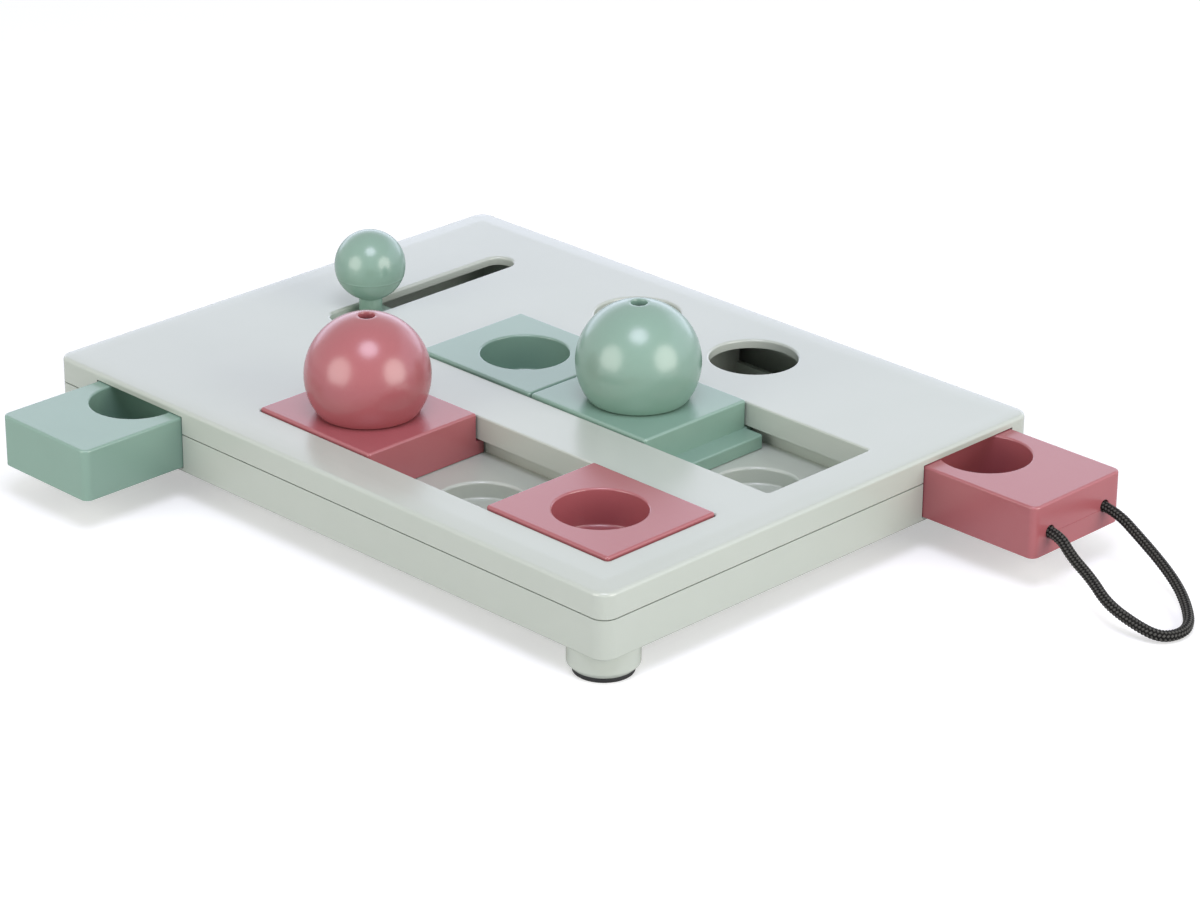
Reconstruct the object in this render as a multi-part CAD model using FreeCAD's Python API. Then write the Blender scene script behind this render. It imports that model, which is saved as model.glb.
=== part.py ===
import FreeCAD, Part
import os
from math import asin, cos, degrees, pi, sin, tan
from FreeCAD import Vector

# Cat puzzle feeder: a two-part moulded board on four feet, with sliding cup blocks in two tracks,
# lift-off balls, a drawer moved by a ball lever in a slot, and a drawer with a pull cord.
# Millimetres, +Z up. X runs along the board's long side, Y along its short side, Z = 0 is the
# surface that the board stands on. The pieces are drawn around the middle of the board, and are
# then moved so that the origin lies under the middle of everything that shows, drawers included.

# Layout: the plate's margins and lands between the drawers and the two rows of blocks
left_margin = 20.8
drawer_to_rows = 18.0
right_margin = 15.4
front_margin = 16.7
row_land = 22.2
rows_to_drawer = 8.1
rear_margin = 9.4

# Housing
corner_radius = 5.0
shell_wall = 2.2
base_floor = 1.5
base_wall_height = 12.9
seam_gap = 0.4
top_shell_height = 8.7
plate_thickness = 2.9
edge_round = 1.6
edge_slope_width = 4.6
edge_slope_drop = 0.35
base_edge_round = 0.8
lip_height = 1.6
lip_clearance = 0.2

# Feet
foot_radius = 11.0
foot_height = 7.9
foot_inset = 11.6
foot_taper = 1.5
foot_ceiling = 1.6
pad_radius = 9.3
pad_thickness = 1.6
pad_round = 0.4
plug_radius = 7.8
plug_height = 3.0

# Clearances
slide_gap = 0.3
well_gap = 0.4
seat_gap = 0.05
mould_wall = 2.0
thin_wall = 1.6

# Slider blocks and their openings in the top plate
slider_length = 51.0
slider_width = 45.4
slider_height = 14.0
slider_proud = 0.95
slider_round = 0.8
slider_corner = 1.0
flange_height = 4.5
side_flange = 3.4
end_flange = 7.7
flange_round = 0.6
slots_per_track = 3
rim_depth = 7.9
rim_wall = 2.0
opening_corner = 1.2
opening_round = 0.6

# Round cups, wells and holes
cup_radius = 14.5
cup_floor = 1.6
cup_round = 0.7
well_radius = 14.0
well_floor = 1.5
well_round = 0.8
track_deck = 1.8
plate_hole_radius = 14.5
plate_hole_pitch = 52.5
plate_hole_shift = 0.3
plate_hole_round = 0.8

# Lift-off balls
ball_radius = 20.0
ball_wall = 2.2
ball_seat_drop = 12.0
scent_hole_radius = 2.6
scent_hole_bevel = 0.5
collar_radius = 13.0
collar_bore = 11.4
collar_height = 4.5
spigot_depth = 3.5

# Drawers
drawer_width = 41.6
drawer_height = 17.0
drawer_corner = 2.6
drawer_round = 0.8
drawer_well_radius = 14.5
drawer_well_inset = 37.0
drawer_gap = 0.35
mint_drawer_length = 148.5
mint_drawer_out = 38.5
pink_drawer_length = 118.0
pink_drawer_out = 43.7
extra_travel = 12.0
catch_length = 6.0
catch_height = 8.0
catch_reach = 1.0
rib_pitch = 27.0

# Lever
slot_width = 10.4
slot_length = 80.1
slot_round = 1.0
lever_inset = 10.0
lever_offset = 1.05
lever_ball_radius = 11.8
lever_ball_height = 15.1
stem_radius = 3.9
stem_fillet = 0.6
stem_engagement = 8.0

# Pull cord
cord_diameter = 3.2
cord_hole_radius = 1.9
cord_hole_spread = 26.2
cord_hole_height = 7.2
knot_radius = 3.8
knot_seat = 2.3
# Route from knot to knot: out from the drawer's end face, sideways from its middle, height
cord_route = [
    (-2.0, -13.1, 18.5), (4.3, -13.1, 18.5), (11.6, -15.4, 14.4), (20.8, -19.0, 11.2),
    (30.2, -22.2, 8.0), (39.4, -23.0, 4.8), (46.8, -20.3, 2.4), (51.0, -13.3, 1.9),
    (49.6, -5.2, 1.9), (43.3, 0.1, 2.9), (35.0, 5.3, 5.2), (25.4, 10.1, 8.2),
    (14.6, 12.9, 12.7), (4.8, 13.1, 18.5), (-2.0, 13.1, 18.5),
]

# Screws
screw_radius = 1.5
screw_length = 12.0
screw_head_radius = 2.8
screw_head_height = 2.0
screw_hole_radius = 1.7
pilot_radius = 1.45
post_radius = 3.0
boss_radius = 3.9
boss_overlap = 0.3
head_well_radius = 3.0
head_well_depth = 5.0

# Levels
base_bottom = pad_thickness + foot_height
floor_top = base_bottom + base_floor
base_rim = base_bottom + base_wall_height
skirt_bottom = base_rim + seam_gap
plate_top = skirt_bottom + top_shell_height
plate_under = plate_top - plate_thickness
wall_top = plate_under - slide_gap
slider_top = plate_top + slider_proud
slider_bottom = slider_top - slider_height
deck_top = slider_bottom - slide_gap
drawer_bottom = floor_top + slide_gap
drawer_top = drawer_bottom + drawer_height
rim_bottom = plate_top - rim_depth

# Sizes and places worked out from the sizes above
slider_pitch = slider_length + slide_gap
opening_length = slots_per_track * slider_pitch + slide_gap
opening_width = slider_width + 2 * slide_gap
board_length = left_margin + drawer_width + drawer_to_rows + opening_length + right_margin
board_width = (front_margin + opening_width + row_land + opening_width + rows_to_drawer
               + drawer_width + rear_margin)
half_length = board_length / 2
half_width = board_width / 2
mint_drawer_x = -half_length + left_margin + drawer_width / 2
pink_drawer_y = half_width - rear_margin - drawer_width / 2
track_middle_x = half_length - right_margin - opening_length / 2
pink_row_y = -half_width + front_margin + opening_width / 2
mint_row_y = pink_row_y + opening_width + row_land
groove_half_width = slider_width / 2 + side_flange + well_gap
groove_half_length = opening_length / 2 + end_flange + well_gap - slide_gap
slot_places = [track_middle_x + (i - (slots_per_track - 1) / 2) * slider_pitch
               for i in range(slots_per_track)]
foot_places = {
    "front_left": (-half_length + foot_inset, -half_width + foot_inset),
    "front_right": (half_length - foot_inset, -half_width + foot_inset),
    "rear_left": (-half_length + foot_inset, half_width - foot_inset),
    "rear_right": (half_length - foot_inset, half_width - foot_inset),
}
mint_drawer_front = -half_width - mint_drawer_out
mint_drawer_back = mint_drawer_front + mint_drawer_length
pink_drawer_front = half_length + pink_drawer_out
pink_drawer_back = pink_drawer_front - pink_drawer_length
lever_x = mint_drawer_x - lever_offset
lever_y = mint_drawer_back - lever_inset
slot_near_end = lever_y - extra_travel - stem_radius - slide_gap
slot_far_end = slot_near_end + slot_length
mint_travel_in = slot_length - 2 * slide_gap - 2 * stem_radius - extra_travel
mint_bay_end = mint_drawer_back + mint_travel_in + slide_gap
pink_bay_end = pink_drawer_back - pink_drawer_out - slide_gap
bay_half_width = drawer_width / 2 + drawer_gap
plate_hole_places = [slot_places[0] + plate_hole_shift + i * plate_hole_pitch for i in range(2)]
catch_floor = drawer_bottom + (drawer_height - catch_height) / 2
boss_inset = shell_wall + boss_radius - boss_overlap
screw_places = [
    (-half_length + boss_inset, pink_row_y),
    (-half_length + boss_inset, pink_drawer_y),
    (slot_places[0], -half_width + boss_inset),
    (slot_places[-1], -half_width + boss_inset),
    (track_middle_x, (pink_row_y + mint_row_y) / 2),
    (half_length - boss_inset, (pink_row_y + mint_row_y) / 2),
    ((mint_drawer_x + pink_bay_end) / 2, half_width - boss_inset),
]
origin_shift = Vector(-pink_drawer_out / 2, mint_drawer_out / 2, 0)


def block(x0, x1, y0, y1, z0, z1, corner=0.0):
    """Upright block between the given planes, with rounded vertical edges."""
    shape = Part.makeBox(x1 - x0, y1 - y0, z1 - z0, Vector(x0, y0, z0))
    if corner > 0:
        upright = [e for e in shape.Edges if abs(e.tangentAt(e.FirstParameter).z) > 0.99]
        shape = shape.makeFillet(corner, upright)
    return shape


def centred_block(x, y, length, width, z0, z1, corner=0.0):
    return block(x - length / 2, x + length / 2, y - width / 2, y + width / 2, z0, z1, corner)


def drum(x, y, radius, z0, z1):
    return Part.makeCylinder(radius, z1 - z0, Vector(x, y, z0))


def rounded_outline(length, width, radius, z):
    """Closed wire of a rectangle with round corners, centred on the board."""
    a, b = length / 2, width / 2
    straights = [
        ((-a + radius, -b), (a - radius, -b)), ((a, -b + radius), (a, b - radius)),
        ((a - radius, b), (-a + radius, b)), ((-a, b - radius), (-a, -b + radius)),
    ]
    centres = [(a - radius, -b + radius), (a - radius, b - radius),
               (-a + radius, b - radius), (-a + radius, -b + radius)]
    edges = []
    for i, ((start, end), centre) in enumerate(zip(straights, centres)):
        following = straights[(i + 1) % 4][0]
        angle = -pi / 4 + i * pi / 2
        middle = Vector(centre[0] + radius * cos(angle), centre[1] + radius * sin(angle), z)
        edges.append(Part.LineSegment(Vector(*start, z), Vector(*end, z)).toShape())
        edges.append(Part.Arc(Vector(*end, z), middle, Vector(*following, z)).toShape())
    return Part.Wire(edges)


def edges_at_height(shape, z, x=0.0, y=0.0, length=2 * board_length, width=2 * board_length):
    """Level edges at one height whose middles lie within a rectangle about x and y."""
    found = []
    for edge in shape.Edges:
        box = edge.BoundBox
        level = abs(box.ZMin - z) < 1e-4 and abs(box.ZMax - z) < 1e-4
        near = abs(box.Center.x - x) < length / 2 + 0.1 and abs(box.Center.y - y) < width / 2 + 0.1
        if level and near:
            found.append(edge)
    return found


def make_top_shell():
    slope_foot = plate_top - edge_slope_drop
    body = Part.Face(rounded_outline(board_length, board_width, corner_radius, skirt_bottom))
    body = body.extrude(Vector(0, 0, slope_foot - skirt_bottom))
    inner_radius = corner_radius - edge_slope_width / 2
    crown = Part.makeLoft([
        rounded_outline(board_length, board_width, corner_radius, slope_foot),
        rounded_outline(board_length - 2 * edge_slope_width, board_width - 2 * edge_slope_width,
                        inner_radius, plate_top)], True, True)
    body = body.fuse(crown)
    body = body.makeFillet(edge_round, edges_at_height(body, slope_foot))
    hollow = Part.Face(rounded_outline(board_length - 2 * shell_wall, board_width - 2 * shell_wall,
                                       corner_radius - shell_wall, skirt_bottom))
    body = body.cut(hollow.extrude(Vector(0, 0, plate_under - skirt_bottom)))
    # Rebate that takes the base shell's lip
    rebate_wall = shell_wall / 2 - lip_clearance
    rebate = Part.Face(rounded_outline(board_length - 2 * rebate_wall, board_width - 2 * rebate_wall,
                                       corner_radius - rebate_wall, skirt_bottom))
    body = body.cut(rebate.extrude(Vector(0, 0, lip_height + lip_clearance)))
    # Rims, ring walls and screw posts under the plate
    additions = []
    for row_y in (mint_row_y, pink_row_y):
        additions.append(centred_block(track_middle_x, row_y, opening_length + 2 * rim_wall,
                                       opening_width + 2 * rim_wall, rim_bottom, plate_under,
                                       opening_corner + rim_wall))
    for x, y in screw_places:
        additions.append(drum(x, y, post_radius, base_rim, plate_under))
    body = body.multiFuse(additions)
    cuts = []
    for row_y in (mint_row_y, pink_row_y):
        cuts.append(centred_block(track_middle_x, row_y, opening_length, opening_width, rim_bottom,
                                  plate_top + 1, opening_corner))
    for x in plate_hole_places:
        cuts.append(drum(x, pink_drawer_y, plate_hole_radius, plate_under, plate_top + 1))
    cuts.append(lever_slot(plate_under, plate_top + 1))
    cuts += drawer_mouths(skirt_bottom, plate_under)
    for x, y in screw_places:
        cuts.append(drum(x, y, pilot_radius, base_rim, plate_under - 1))
    body = body.cut(cuts)
    rims = [(opening_round, track_middle_x, row_y, opening_length, opening_width)
            for row_y in (mint_row_y, pink_row_y)]
    rims += [(plate_hole_round, x, pink_drawer_y, 2 * plate_hole_radius, 2 * plate_hole_radius)
             for x in plate_hole_places]
    rims.append((slot_round, lever_x, (slot_near_end + slot_far_end) / 2, slot_width,
                 slot_far_end - slot_near_end))
    for size, x, y, length, width in rims:
        body = body.makeFillet(size, edges_at_height(body, plate_top, x, y, length, width))
    return body


def lever_slot(z0, z1):
    """Slot with round ends, in which the lever's stem runs."""
    end_radius = slot_width / 2
    return centred_block(lever_x, (slot_near_end + slot_far_end) / 2, slot_width,
                         slot_far_end - slot_near_end - slot_width, z0, z1).multiFuse([
        drum(lever_x, slot_near_end + end_radius, end_radius, z0, z1),
        drum(lever_x, slot_far_end - end_radius, end_radius, z0, z1)])


def drawer_mouths(z0, z1):
    """Blocks that cut the two drawer mouths through the housing walls."""
    reach = shell_wall + 1
    return [
        block(mint_drawer_x - bay_half_width, mint_drawer_x + bay_half_width,
              -half_width - 1, -half_width + reach, z0, z1),
        block(half_length - reach, half_length + 1,
              pink_drawer_y - bay_half_width, pink_drawer_y + bay_half_width, z0, z1),
    ]


def make_base_shell():
    outline = rounded_outline(board_length, board_width, corner_radius, base_bottom)
    body = Part.Face(outline).extrude(Vector(0, 0, base_wall_height))
    body = body.makeFillet(base_edge_round, edges_at_height(body, base_bottom))
    inner = Part.Face(rounded_outline(board_length - 2 * shell_wall, board_width - 2 * shell_wall,
                                      corner_radius - shell_wall, floor_top))
    lip_inset = shell_wall / 2
    lip = Part.Face(rounded_outline(board_length - 2 * lip_inset, board_width - 2 * lip_inset,
                                    corner_radius - lip_inset, base_rim))
    body = body.fuse(lip.extrude(Vector(0, 0, lip_height)))
    body = body.cut(inner.extrude(Vector(0, 0, plate_top)))
    additions = []
    for x, y in foot_places.values():
        foot = drum(x, y, foot_radius, pad_thickness, base_bottom + base_floor / 2)
        foot = foot.makeChamfer(foot_taper, edges_at_height(foot, pad_thickness))
        additions.append(foot)
    for x, y in screw_places:
        additions.append(drum(x, y, boss_radius, base_bottom + base_floor / 2, base_rim))
    # Drawer bays: two side walls and an end wall each
    mint_low = mint_drawer_x - bay_half_width
    mint_high = mint_drawer_x + bay_half_width
    pink_low = pink_drawer_y - bay_half_width
    pink_high = pink_drawer_y + bay_half_width
    wall_foot = base_bottom + base_floor / 2
    bay_walls = []
    for inset, top in ((shell_wall / 2, base_rim), (shell_wall + lip_clearance, wall_top)):
        bay_walls.append(block(mint_low - thin_wall, mint_high + thin_wall, -half_width + inset,
                               mint_bay_end + thin_wall, wall_foot, top))
        bay_walls.append(block(pink_bay_end - thin_wall, half_length - inset,
                               pink_low - thin_wall, pink_high + thin_wall, wall_foot, top))
    bay_rooms = [
        block(mint_low, mint_high, -half_width + shell_wall / 2, mint_bay_end, floor_top,
              wall_top + 1),
        block(pink_bay_end, half_length - shell_wall / 2, pink_low, pink_high, floor_top,
              wall_top + 1),
    ]
    # Ring that holds the treat under the plate's left round hole
    ring_x = plate_hole_places[0]
    bay_walls.append(drum(ring_x, pink_drawer_y, plate_hole_radius + thin_wall, wall_foot, wall_top))
    bay_rooms.append(drum(ring_x, pink_drawer_y, plate_hole_radius, floor_top, wall_top + 1))
    body = body.multiFuse(additions + bay_walls).cut(bay_rooms)
    cuts = drawer_mouths(floor_top, plate_under)
    # Window in the pink bay's side wall, in which the drawer's catch runs
    cuts.append(block(pink_bay_end, pink_drawer_back + extra_travel + catch_length + slide_gap,
                      pink_high - 1, pink_high + thin_wall + 1, catch_floor - slide_gap,
                      catch_floor + catch_height + slide_gap))
    for x, y in foot_places.values():
        cuts.append(drum(x, y, plug_radius + seat_gap, pad_thickness, base_bottom - foot_ceiling))
    for x, y in screw_places:
        cuts.append(drum(x, y, screw_hole_radius, base_bottom, base_rim))
        cuts.append(drum(x, y, head_well_radius, base_bottom, base_bottom + head_well_depth))
    return body.cut(cuts)


def make_track(row_y):
    """Raised deck with a round well in each slot, between two walls that guide the flanges."""
    x = track_middle_x
    length = 2 * groove_half_length
    width = 2 * groove_half_width
    body = centred_block(x, row_y, length + 2 * thin_wall, width + 2 * thin_wall, floor_top,
                         wall_top, opening_corner)
    body = body.cut(centred_block(x, row_y, length, width, deck_top, wall_top + 1))
    body = body.cut(centred_block(x, row_y, length, width, floor_top, deck_top - track_deck))
    cups = [drum(slot_x, row_y, well_radius + thin_wall, floor_top, deck_top)
            for slot_x in slot_places]
    rooms = [drum(slot_x, row_y, well_radius, floor_top + well_floor, deck_top + 1)
             for slot_x in slot_places]
    body = body.multiFuse(cups).cut(rooms)
    well_edges = [e for e in edges_at_height(body, deck_top) if e.Curve.TypeId == "Part::GeomCircle"
                  and abs(e.Curve.Radius - well_radius) < 0.01]
    return body.makeFillet(well_round, well_edges)


def cup(x, y, radius, z0, z1):
    """Outer drum and inner room of a moulded cup that opens through a top at z1."""
    outer = drum(x, y, radius + thin_wall, z0, z1 - mould_wall)
    return outer, drum(x, y, radius, z0 + cup_floor, z1 + 1)


def make_slider(slot_x, row_y, end_side):
    """Hollow block with a cup; end_side is -1 or +1, the end that carries the long flange."""
    body = centred_block(slot_x, row_y, slider_length, slider_width, slider_bottom, slider_top,
                         slider_corner)
    body = body.makeFillet(slider_round, edges_at_height(body, slider_top))
    flange_top = slider_bottom + flange_height
    side = centred_block(slot_x, row_y, slider_length, slider_width + 2 * side_flange,
                         slider_bottom, flange_top, slider_corner)
    side = side.makeFillet(flange_round, edges_at_height(side, flange_top))
    end_x = slot_x + end_side * end_flange / 2
    end = centred_block(end_x, row_y, slider_length + end_flange, slider_width, slider_bottom,
                        flange_top, slider_corner)
    end = end.makeFillet(flange_round, edges_at_height(end, flange_top))
    body = body.multiFuse([side, end])
    hollow = centred_block(slot_x, row_y, slider_length - 2 * mould_wall,
                           slider_width - 2 * mould_wall, slider_bottom, slider_top - mould_wall)
    outer, room = cup(slot_x, row_y, cup_radius, slider_bottom, slider_top)
    body = body.cut(hollow).fuse(outer).cut(room)
    rim = [e for e in edges_at_height(body, slider_top) if e.Curve.TypeId == "Part::GeomCircle"
           and abs(e.Curve.Radius - cup_radius) < 0.01]
    return body.makeFillet(cup_round, rim)


def ball_centre_height():
    return slider_top + slide_gap + ball_seat_drop


def make_knob_ball(slot_x, row_y):
    """Hollow ball, cut flat where it sits, with a scent hole in its crown."""
    centre = Vector(slot_x, row_y, ball_centre_height())
    seat = slider_top + slide_gap
    ball = Part.makeSphere(ball_radius, centre)
    ball = ball.cut(drum(slot_x, row_y, ball_radius + 1, seat - ball_radius, seat))
    room = Part.makeSphere(ball_radius - ball_wall, centre)
    room = room.cut(drum(slot_x, row_y, ball_radius, seat - ball_radius, seat + mould_wall))
    ball = ball.cut(room)
    ball = ball.cut(drum(slot_x, row_y, collar_radius, seat - 1, seat + mould_wall + 1))
    scent = drum(slot_x, row_y, scent_hole_radius, centre.z, centre.z + ball_radius + 1)
    ball = ball.cut(scent)
    crown = [e for e in ball.Edges if e.Curve.TypeId == "Part::GeomCircle"
             and abs(e.Curve.Radius - scent_hole_radius) < 0.01
             and e.BoundBox.ZMax > centre.z + ball_radius - ball_wall / 2]
    return ball.makeChamfer(scent_hole_bevel, crown)


def make_knob_collar(slot_x, row_y):
    """Ring pressed into the ball's mouth, with a spigot that drops into the cup."""
    seat = slider_top + slide_gap
    ring = drum(slot_x, row_y, collar_radius - seat_gap, seat, seat + collar_height)
    spigot = drum(slot_x, row_y, cup_radius - well_gap, seat - spigot_depth, seat)
    spigot = spigot.makeChamfer(cup_round, edges_at_height(spigot, seat - spigot_depth))
    bore = drum(slot_x, row_y, collar_bore, seat - spigot_depth - 1, seat + collar_height + 1)
    return ring.fuse(spigot).cut(bore)


def drawer_shell(x0, x1, y0, y1):
    """Closed-topped hollow box with rounded upright edges, open below."""
    body = block(x0, x1, y0, y1, drawer_bottom, drawer_top, drawer_corner)
    body = body.makeFillet(drawer_round, edges_at_height(body, drawer_top))
    room = block(x0 + mould_wall, x1 - mould_wall, y0 + mould_wall, y1 - mould_wall,
                 drawer_bottom, drawer_top - mould_wall)
    return body.cut(room)


def make_mint_drawer():
    x0, x1 = mint_drawer_x - drawer_width / 2, mint_drawer_x + drawer_width / 2
    body = drawer_shell(x0, x1, mint_drawer_front, mint_drawer_back)
    well_y = mint_drawer_front + drawer_well_inset
    outer, room = cup(mint_drawer_x, well_y, drawer_well_radius, drawer_bottom, drawer_top)
    # Ribs under the top: one along the middle behind the well, and cross ribs
    rib_top = drawer_top - mould_wall
    parts = [outer, block(mint_drawer_x - thin_wall / 2, mint_drawer_x + thin_wall / 2,
                          well_y + drawer_well_radius, mint_drawer_back - mould_wall,
                          drawer_bottom, rib_top)]
    rib_y = well_y + drawer_well_radius + thin_wall + rib_pitch / 2
    while rib_y < mint_drawer_back - rib_pitch / 2:
        parts.append(block(x0 + 1, x1 - 1, rib_y - thin_wall / 2, rib_y + thin_wall / 2,
                           drawer_bottom, rib_top))
        rib_y += rib_pitch
    # Socket that holds the lever's stem
    socket_floor = drawer_top - stem_engagement
    parts.append(drum(lever_x, lever_y, stem_radius + thin_wall, socket_floor - thin_wall, rib_top))
    body = body.multiFuse(parts).cut(room)
    return body.cut(drum(lever_x, lever_y, stem_radius + seat_gap, socket_floor, drawer_top + 1))


def make_pink_drawer():
    y0, y1 = pink_drawer_y - drawer_width / 2, pink_drawer_y + drawer_width / 2
    body = drawer_shell(pink_drawer_back, pink_drawer_front, y0, y1)
    well_x = pink_drawer_front - drawer_well_inset
    outer, room = cup(well_x, pink_drawer_y, drawer_well_radius, drawer_bottom, drawer_top)
    rib_top = drawer_top - mould_wall
    parts = [outer, block(pink_drawer_back + mould_wall, well_x - drawer_well_radius,
                          pink_drawer_y - thin_wall / 2, pink_drawer_y + thin_wall / 2,
                          drawer_bottom, rib_top)]
    rib_x = well_x - drawer_well_radius - thin_wall - rib_pitch / 2
    while rib_x > pink_drawer_back + rib_pitch / 2:
        parts.append(block(rib_x - thin_wall / 2, rib_x + thin_wall / 2, y0 + 1, y1 - 1,
                           drawer_bottom, rib_top))
        rib_x -= rib_pitch
    # Catch that runs in the bay wall's window and stops the drawer before it falls out
    parts.append(block(pink_drawer_back, pink_drawer_back + catch_length, y1 - 1,
                       y1 + drawer_gap + catch_reach, catch_floor, catch_floor + catch_height))
    body = body.multiFuse(parts).cut(room)
    holes = [Part.makeCylinder(cord_hole_radius, mould_wall + 2,
                               Vector(pink_drawer_front - mould_wall - 1, pink_drawer_y + side
                                      * cord_hole_spread / 2, drawer_bottom + cord_hole_height),
                               Vector(1, 0, 0)) for side in (-1, 1)]
    return body.cut(holes)


def make_drawer_lever():
    """Small solid ball on a round stem; the stem stands in the drawer's socket."""
    centre = Vector(lever_x, lever_y, plate_top + lever_ball_height)
    ball = Part.makeSphere(lever_ball_radius, centre)
    lever = ball.fuse(drum(lever_x, lever_y, stem_radius, drawer_top - stem_engagement, centre.z))
    neck = [e for e in lever.Edges if plate_top < e.BoundBox.ZMin and e.BoundBox.ZMax < centre.z
            and e.BoundBox.ZLength < stem_fillet and e.BoundBox.XLength > stem_radius]
    return lever.makeFillet(stem_fillet, neck)


def cord_wire():
    """Straight runs joined by tangent arcs, from one knot to the other."""
    points = [Vector(pink_drawer_front + out, pink_drawer_y + side, height)
              for out, side, height in cord_route]
    edges = []
    last = points[0]
    for before, corner, after in zip(points, points[1:], points[2:]):
        arriving = (corner - before)
        leaving = (after - corner)
        shorter = min(arriving.Length, leaving.Length)
        half_turn = arriving.getAngle(leaving) / 2
        radius = 0.45 * shorter / tan(half_turn)
        start = corner - arriving.normalize() * (0.45 * shorter)
        end = corner + leaving.normalize() * (0.45 * shorter)
        inward = (leaving - arriving).normalize()
        middle = corner + inward * (radius / cos(half_turn) - radius)
        edges.append(Part.LineSegment(last, start).toShape())
        edges.append(Part.Arc(start, middle, end).toShape())
        print("cord bend radius", round(radius, 1))
        last = end
    edges.append(Part.LineSegment(last, points[-1]).toShape())
    return Part.Wire(edges)


def make_pull_cord():
    path = cord_wire()
    start = path.Vertexes[0].Point
    along = path.Edges[0].tangentAt(path.Edges[0].FirstParameter)
    section = Part.Wire(Part.makeCircle(cord_diameter / 2, start, along))
    cord = path.makePipeShell([section], True, False)
    area = pi * cord_diameter ** 2 / 4
    print("cord length", round(path.Length, 1), "volume share", round(cord.Volume / area / path.Length, 4))
    return cord


def make_cord_knots():
    """A round knot on each cord end, flat where it bears on the drawer's front wall."""
    face = pink_drawer_front - mould_wall
    knots = []
    for side in (-1, 1):
        y = pink_drawer_y + side * cord_hole_spread / 2
        z = drawer_bottom + cord_hole_height
        knots.append(Part.makeSphere(knot_radius, Vector(face - knot_seat, y, z), Vector(1, 0, 0),
                                     -90, degrees(asin(knot_seat / knot_radius)), 360))
    return Part.makeCompound(knots)


def make_foot_pad(place):
    x, y = foot_places[place]
    pad = drum(x, y, pad_radius, 0, pad_thickness)
    pad = pad.makeFillet(pad_round, edges_at_height(pad, 0))
    return pad.fuse(drum(x, y, plug_radius, pad_thickness, pad_thickness + plug_height))


def make_shell_screws():
    screws = []
    for x, y in screw_places:
        seat = base_bottom + head_well_depth
        head = drum(x, y, screw_head_radius, seat - screw_head_height, seat)
        screws.append(head.fuse(drum(x, y, screw_radius, seat, seat + screw_length)))
    return Part.makeCompound(screws)


def main():
    left, middle, right = slot_places
    parts = {
        "top_shell": make_top_shell(),
        "base_shell": make_base_shell(),
        "mint_track": make_track(mint_row_y),
        "pink_track": make_track(pink_row_y),
        "mint_cup_slider": make_slider(left, mint_row_y, -1),
        "mint_knob_slider": make_slider(middle, mint_row_y, 1),
        "pink_knob_slider": make_slider(left, pink_row_y, -1),
        "pink_cup_slider": make_slider(right, pink_row_y, 1),
        "mint_knob_ball": make_knob_ball(middle, mint_row_y),
        "mint_knob_collar": make_knob_collar(middle, mint_row_y),
        "pink_knob_ball": make_knob_ball(left, pink_row_y),
        "pink_knob_collar": make_knob_collar(left, pink_row_y),
        "mint_drawer": make_mint_drawer(),
        "drawer_lever": make_drawer_lever(),
        "pink_drawer": make_pink_drawer(),
        "pull_cord": make_pull_cord(),
        "cord_knots": make_cord_knots(),
        "shell_screws": make_shell_screws(),
    }
    for place in foot_places:
        parts["foot_pad_" + place] = make_foot_pad(place)
    os.makedirs("parts", exist_ok=True)
    for name, shape in parts.items():
        shape = shape.translated(origin_shift)
        shape.exportStep("parts/" + name + ".step")
        print(name, "solids", len(shape.Solids), "valid", shape.isValid(), "volume", round(shape.Volume))


main()
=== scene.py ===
import bpy
from math import atan2, cos, degrees, hypot, pi, radians, sin, sqrt
from mathutils import Matrix, Vector


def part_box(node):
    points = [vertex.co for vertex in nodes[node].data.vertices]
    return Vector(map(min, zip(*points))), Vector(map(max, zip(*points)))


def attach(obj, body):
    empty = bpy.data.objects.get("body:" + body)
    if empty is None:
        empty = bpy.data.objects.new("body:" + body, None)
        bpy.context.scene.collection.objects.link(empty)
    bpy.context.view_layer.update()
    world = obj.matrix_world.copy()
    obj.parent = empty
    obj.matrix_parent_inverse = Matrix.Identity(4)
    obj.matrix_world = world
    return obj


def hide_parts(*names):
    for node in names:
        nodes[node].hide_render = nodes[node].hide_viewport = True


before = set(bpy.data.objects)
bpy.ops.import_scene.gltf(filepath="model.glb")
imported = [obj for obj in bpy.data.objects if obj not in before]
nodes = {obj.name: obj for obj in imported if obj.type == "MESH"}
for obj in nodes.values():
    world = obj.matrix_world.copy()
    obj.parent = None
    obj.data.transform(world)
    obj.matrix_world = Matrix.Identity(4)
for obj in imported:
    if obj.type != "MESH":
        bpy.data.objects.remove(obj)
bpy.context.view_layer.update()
mm = 0.001
print("frame loaded:", len(nodes), "nodes")


# modelling tools; sizes and places are given to them in millimetres

past = 1.0           # how far a cutting piece runs beyond what it cuts
overlap = 0.2        # how far a joined piece runs into its neighbour
onLevel = 0.005      # how far off a level or a circle a point may lie and still count as on it
oneSpot = 0.002      # how close points are that count as one
rimLift = 0.005      # how far a rounded rim ends above the surface that it opens


def boxOf(nodeName):
    low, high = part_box(nodeName)
    return Vector(low) / mm, Vector(high) / mm


def middleOf(nodeName):    # its x and y
    low, high = boxOf(nodeName)
    return (low.x + high.x) / 2, (low.y + high.y) / 2


def deselectAll():
    active = bpy.context.view_layer.objects.active
    if active and active.mode != "OBJECT":
        bpy.ops.object.mode_set(mode="OBJECT")
    bpy.ops.object.select_all(action="DESELECT")


def makeActive(piece):
    deselectAll()
    bpy.context.view_layer.objects.active = piece
    piece.select_set(True)


def applyPlace():
    bpy.ops.object.transform_apply(location=True, rotation=True, scale=True)


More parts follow.
